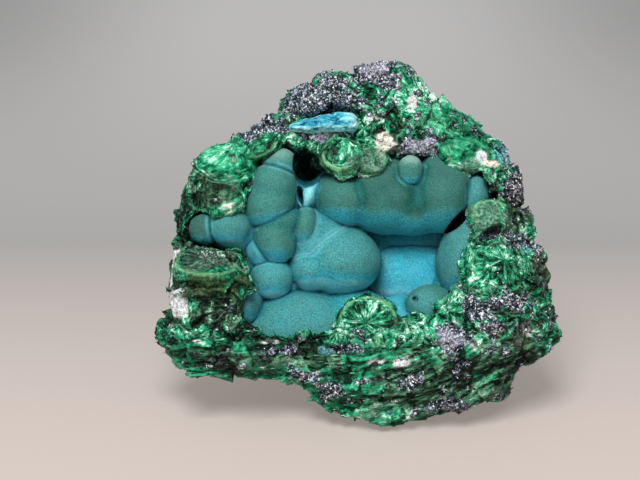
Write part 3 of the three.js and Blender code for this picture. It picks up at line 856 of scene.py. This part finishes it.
def malachite(finish):  # green, in streaks along the fibres
    at = finish.place()
    way = finish.attribute("spoke", "Vector")
    reach = finish.attribute("reach")
    noises = [finish.node("ShaderNodeTexNoise", {"noise_dimensions": "4D"},
                          {"Vector": way, "W": reach * long, "Scale": scale, "Detail": 2, "Roughness": 0.7})
              for scale, long in ((4.4, 0.05), (12, 0.035), (28, 0.03))]
    wide, thin, hairs = noises
    speck = finish.noise(at, 2400, 2, 0.7)
    cloud = finish.noise(at, 420, 4, 0.65)
    # painted highlight: a little lighter on convex edges
    edges = finish.span(finish.attribute("crease"), 0.02, -0.14)
    value = (wide - 0.5) * 1.7 + (thin - 0.5) * 1.1 + (hairs - 0.5) * 0.5
    value = value + (finish.attribute("tone") - 0.5) * 0.5
    value = value + (cloud - 0.5) * 0.9 + (speck - 0.5) * 0.5 + edges * 0.1
    value = value * (1 - finish.attribute("calm") * 0.45)
    value = value + finish.attribute("bright") * 0.2 - finish.attribute("dark") * 0.2 + 0.42
    # the near-white tops of the green, glass and muted ramps are partly painted glints
    green = finish.ramp(value, (0.2, 1, 14, 9), (0.36, 3, 76, 48), (0.52, 20, 138, 96),
                        (0.72, 80, 196, 148), (0.88, 232, 252, 240))
    band = finish.noise(finish.node("ShaderNodeCombineXYZ", {}, {1: finish.attribute("height")}), 1.6, 2)
    banded = band * 0.45 + (thin - 0.5) * 0.5 + (cloud - 0.5) * 0.5 + 0.26
    olive = finish.ramp(banded, (0.35, 26, 48, 28), (0.5, 62, 86, 50), (0.68, 104, 130, 80))
    glass = finish.ramp(value, (0.2, 24, 44, 36), (0.45, 66, 92, 80), (0.6, 112, 136, 122),
                        (0.78, 240, 244, 240))
    muted = finish.ramp(value, (0.22, 10, 18, 12), (0.38, 44, 66, 50), (0.52, 82, 112, 88),
                        (0.7, 136, 166, 140), (0.86, 240, 248, 238))
    green = finish.tinted(green, "muted", 0.7, muted)
    green = finish.tinted(green, "olive", 0.85, olive)
    green = finish.tinted(green, "glass", 0.85, glass)
    green = finish.tinted(green, "rim", 1, colour(140, 204, 146))
    return at, value, green, speck


def stoneFinish():
    finish = Finish("broken malachite", IOR=1.28)
    at, value, green, speck = malachite(finish)
    grains = finish.cellColour(at, 2300)
    # the whitest cells of the mottle are partly painted glints
    mottle = finish.ramp(finish.node("ShaderNodeSeparateXYZ", {}, {0: grains}), (0.0, 2, 4, 9),
                         (0.42, 14, 30, 42), (0.58, 54, 88, 106), (0.76, 156, 160, 190),
                         (0.92, 252, 250, 254))
    mottle = finish.tinted(mottle, "lilac", 0.5, colour(196, 190, 216))
    shown = finish.tinted(green, "druse", 0.92, mottle)
    sky = finish.ramp(speck, (0.35, 34, 110, 118), (0.5, 84, 176, 184), (0.65, 160, 218, 222))
    shown = finish.tinted(shown, "cyan", 0.65, sky)
    shown = finish.tinted(shown, "brown", 0.5, colour(66, 50, 40))
    frost = finish.noise(at, 2400, 2, 0.8)
    sand = finish.ramp(frost, (0.34, 84, 84, 66), (0.42, 224, 218, 188), (0.54, 254, 252, 238))
    shown = finish.tinted(shown, "cream", 0.85, sand)
    snow = finish.ramp(frost, (0.3, 130, 130, 136), (0.45, 206, 208, 208), (0.6, 246, 246, 246))
    shown = finish.tinted(shown, "white", 0.9, snow)
    dull = finish.ramp(finish.noise(at, 1500, 3, 0.7), (0.35, 34, 70, 54), (0.5, 74, 122, 98),
                       (0.66, 150, 180, 156))
    shown = finish.tinted(shown, "dull", 0.75, dull)
    # painted shade: near black in the creases
    shade = finish.span(finish.attribute("crease"), 0.04, 0.2, 0, 0.8)
    shown = finish.mix(shade, shown, colour(2, 14, 12))
    # painted shadow: near black deep in the hole
    shown = finish.tinted(shown, "black", 0.8, colour(2, 4, 6))
    glints = finish.glints(at, 1500, 0.9)
    normal = finish.bump(value, 0.0003, 0.8, glints)
    finish.set(Base_Color=shown, Roughness=finish.span(speck, 0.35, 0.65, 0.2, 0.5), Normal=normal)
    return finish.material


# small crystals that stand on the stone
def areasOf(mesh):  # the area round each vertex
    corners = readAll(mesh.loops, "vertex_index", kind=np.int32)
    counts = readAll(mesh.polygons, "loop_total", kind=np.int32)
    shares = np.repeat(readAll(mesh.polygons, "area") / counts, counts)
    return np.bincount(corners, shares, len(mesh.vertices))


def valuesOf(mesh, name):
    return readAll(mesh.attributes[name].data, "value")


def sown(name, places, shapeOf, batch=120):  # one mesh of small cones, made in batches for speed
    whole = bmesh.new()
    for start in range(0, len(places), batch):
        part = bmesh.new()
        layer = part.verts.layers.float.new("shade")
        for i in places[start:start + batch]:
            matrix, taper, shade = shapeOf(i)
            made = bmesh.ops.create_cone(part, cap_ends=True, segments=4, radius1=0.5,
                                         radius2=0.5 * taper, depth=1, matrix=matrix)
            for vert in made["verts"]:
                vert[layer] = shade
        take(whole, part)
    return asObject(whole, name)


def chosenPlaces(random, chance, count):
    return random.choice(len(chance), count // (1), False, chance / chance.sum())


crystals = dict(count=13000, size=(0.16, 0.38), sunk=0.35, seed=7)
clearOfGround = 1.5  # no crystal or blade stands lower than this


def crystalPiece(ground):
    random = np.random.default_rng(crystals["seed"])
    points, normals = pointsOf(ground.data), normalsOf(ground.data)
    chance = areasOf(ground.data) * ease(0.35, 0.8, valuesOf(ground.data, "druse"))
    chance = chance * (points[:, 2] > clearOfGround * mm)
    pale = np.maximum(valuesOf(ground.data, "cream"), valuesOf(ground.data, "white"))
    lilac = valuesOf(ground.data, "lilac")

    def crystal(i):
        size = random.uniform(*crystals["size"]) * mm
        stretch = Matrix.Diagonal((size, size * random.uniform(0.6, 1), size * random.uniform(0.8, 1.3), 1))
        turn = Vector(normals[i] + random.normal(0, 0.45, 3)).to_track_quat("Z", "Y").to_matrix().to_4x4()
        spin = Matrix.Rotation(random.uniform(0, math.tau), 4, "Z")
        middle = points[i] + normals[i] * size * (0.5 - crystals["sunk"])
        shade = random.uniform(0.86 if pale[i] > 0.4 else 0.5 if lilac[i] > 0.4 else 0, 1)
        return Matrix.Translation(middle) @ turn @ spin @ stretch, random.uniform(0.4, 0.8), shade

    return sown("druse_crystals", chosenPlaces(random, chance, crystals["count"]), crystal)


splinters = dict(count=2200, length=(0.7, 1.9), width=(0.12, 0.22), rise=0.05, seed=11)


def splinterPiece(ground):  # blades of malachite that lie along the fibres
    random = np.random.default_rng(splinters["seed"])
    mesh = ground.data
    points, normals = pointsOf(mesh), normalsOf(mesh)
    local = onFront(points)
    way, _, _, _ = fans(local, smoothNormals(mesh, 8))
    layers = stone["layers"]
    low = inLayers(local)[1]
    slope = layers["tilt"] / (1 + np.exp((layers["tiltFrom"] - local[low, 0]) / layers["softly"]))
    way[low] = np.stack([np.ones(len(slope)), slope, 0 * slope], axis=1)
    along = way @ frontTurn.T
    free = (1 - valuesOf(mesh, "druse")) * (1 - valuesOf(mesh, "white")) * (1 - 0.9 * onRims(local))
    hidden = buried(mesh, "chrysocolla_crust")
    chance = areasOf(mesh) * free * (1 - hidden) * (0.35 + 0.65 * ease(-16, -2, local[:, 2]))
    chance = chance * (points[:, 2] > clearOfGround * mm)
    bright, dark = valuesOf(mesh, "bright"), valuesOf(mesh, "dark")

    def splinter(i):
        length = random.uniform(*splinters["length"]) * mm
        wide = random.uniform(*splinters["width"]) * mm
        rise = normals[i] * random.uniform(0, splinters["rise"])
        lie = Vector(along[i] + rise + random.normal(0, 0.06, 3))
        turn = lie.to_track_quat("Z", "Y").to_matrix().to_4x4()
        spin = Matrix.Rotation(random.uniform(0, math.tau), 4, "Z")
        middle = points[i] + normals[i] * wide * 0.2
        shade = np.clip(random.normal(0.4 + 0.15 * bright[i] - 0.2 * dark[i], 0.2), 0, 1)
        stretch = Matrix.Diagonal((wide, wide * random.uniform(0.5, 1), length, 1))
        return Matrix.Translation(middle) @ turn @ spin @ stretch, random.uniform(0.2, 0.9), shade

    return sown("malachite_splinters", chosenPlaces(random, chance, splinters["count"]), splinter)


def splinterFinish():
    finish = Finish("malachite blades", IOR=1.55)
    grains = finish.noise(finish.place(), 1600, 2)
    value = finish.attribute("shade") + (grains - 0.5) * 0.5
    # the whitest blades are partly painted glints
    tint = finish.ramp(value, (0.0, 2, 26, 18), (0.3, 8, 82, 54), (0.52, 26, 140, 96), (0.75, 98, 204, 154),
                       (0.95, 220, 246, 230))
    finish.set(Base_Color=tint, Roughness=finish.span(grains, 0.3, 0.7, 0.18, 0.42))
    return finish.material


def crystalFinish():
    finish = Finish("dark druse", IOR=1.6)
    # the near-white stop is partly painted glints; the cream end is the pale patches' own colour
    tint = finish.ramp(finish.attribute("shade"), (0.0, 6, 8, 16), (0.4, 24, 30, 46), (0.55, 66, 70, 98),
                       (0.7, 140, 134, 164), (0.78, 30, 104, 84), (0.88, 236, 234, 240),
                       (1.0, 236, 232, 206))
    cloud = finish.noise(finish.place(), 900)
    finish.set(Base_Color=tint, Roughness=finish.span(cloud, 0.3, 0.7, 0.12, 0.42))
    return finish.material


# stage, light and camera
stage = dict(
    # painted light: lighter near, darker in the middle and lighter again far off
    floor=[(0.0, 155, 145, 139), (0.28, 126, 124, 122), (1.0, 150, 149, 148)],
    near=-0.05, far=0.36,  # the floor's colours run from near to far
    corners=dict(middle=-0.009, across=(0.03, 0.13), along=(0.1, 0.34), dark=0.36),
    # painted light: the floor glows, so the shadows on it stay light
    glow=0.8, sky=colour(212, 212, 216), skyStrength=0.48,
)
keyLight = dict(at=(-0.1, -0.52, 0.76), aim=(0, 0, 0.03), size=0.45, watts=10)
view = dict(lens=131.6, distance=0.52, aim=(-8.9, 1.1, 0))


def floorPiece():
    bm = bmesh.new()
    bmesh.ops.create_grid(bm, x_segments=1, y_segments=1, size=6)
    floor = asObject(bm, "floor")
    finish = Finish("plain floor", Roughness=0.7, Emission_Strength=stage["glow"])
    across, along = (finish.node("ShaderNodeSeparateXYZ", {}, {0: finish.place()}, out=axis)
                     for axis in (0, 1))
    corners = stage["corners"]
    aside = across.maths("ABSOLUTE", across - corners["middle"])
    tint = finish.ramp(finish.span(along, stage["near"], stage["far"]), *stage["floor"])
    # painted shade: the far corners are darker
    corner = finish.span(aside, *corners["across"])
    corner = corner * finish.span(along, *corners["along"], 0, corners["dark"])
    tint = finish.mix(corner, tint, (0.0, 0.0, 0.0, 1))
    # painted light: the floor glows in its own colour
    finish.set(Base_Color=tint, Emission_Color=tint)
    floor.data.materials.append(finish.material)


def makeKeyLight():
    lamp = bpy.data.lights.new("key", "AREA")
    lamp.shape = "DISK"
    lamp.size = keyLight["size"]
    lamp.energy = keyLight["watts"]
    holder = bpy.data.objects.new("key", lamp)
    holder.location = keyLight["at"]
    way = Vector(keyLight["aim"]) - Vector(keyLight["at"])
    holder.rotation_euler = way.to_track_quat("-Z", "Y").to_euler()
    bpy.context.scene.collection.objects.link(holder)


def makeCamera():
    data = bpy.data.cameras.new("camera")
    data.lens = view["lens"]
    camera = bpy.data.objects.new("camera", data)
    aim = frontToRow @ Vector(view["aim"])
    outwards = Vector(frontTurn[:, 2])
    camera.location = aim + outwards * view["distance"]
    camera.rotation_euler = (-outwards).to_track_quat("-Z", "Y").to_euler()
    bpy.context.scene.collection.objects.link(camera)
    bpy.context.scene.camera = camera


def makeSky():
    world = bpy.data.worlds.new("sky")
    world.use_nodes = True
    background = world.node_tree.nodes["Background"]
    background.inputs["Color"].default_value = stage["sky"]
    background.inputs["Strength"].default_value = stage["skyStrength"]
    bpy.context.scene.world = world


def finished(piece, node, material, smooth=True):
    piece.data.materials.clear()
    piece.data.materials.append(material)
    piece.data.shade_smooth() if smooth else piece.data.shade_flat()
    if node:
        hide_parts(node)
    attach(piece, "root")
    print(piece.name, "triangles:", len(piece.data.loops) - 2 * len(piece.data.polygons))


makeCamera()
makeSky()
makeKeyLight()
floorPiece()
print("stage ready")
finished(crustPiece(), "chrysocolla_crust", crustFinish())
finished(seamPiece(), "chrysocolla_seam", seamFinish())
body = stonePiece()
finished(body, "malachite_matrix", stoneFinish())
finished(crystalPiece(body), None, crystalFinish(), smooth=False)
finished(splinterPiece(body), None, splinterFinish(), smooth=False)

bpy.context.scene.view_settings.view_transform = "Standard"
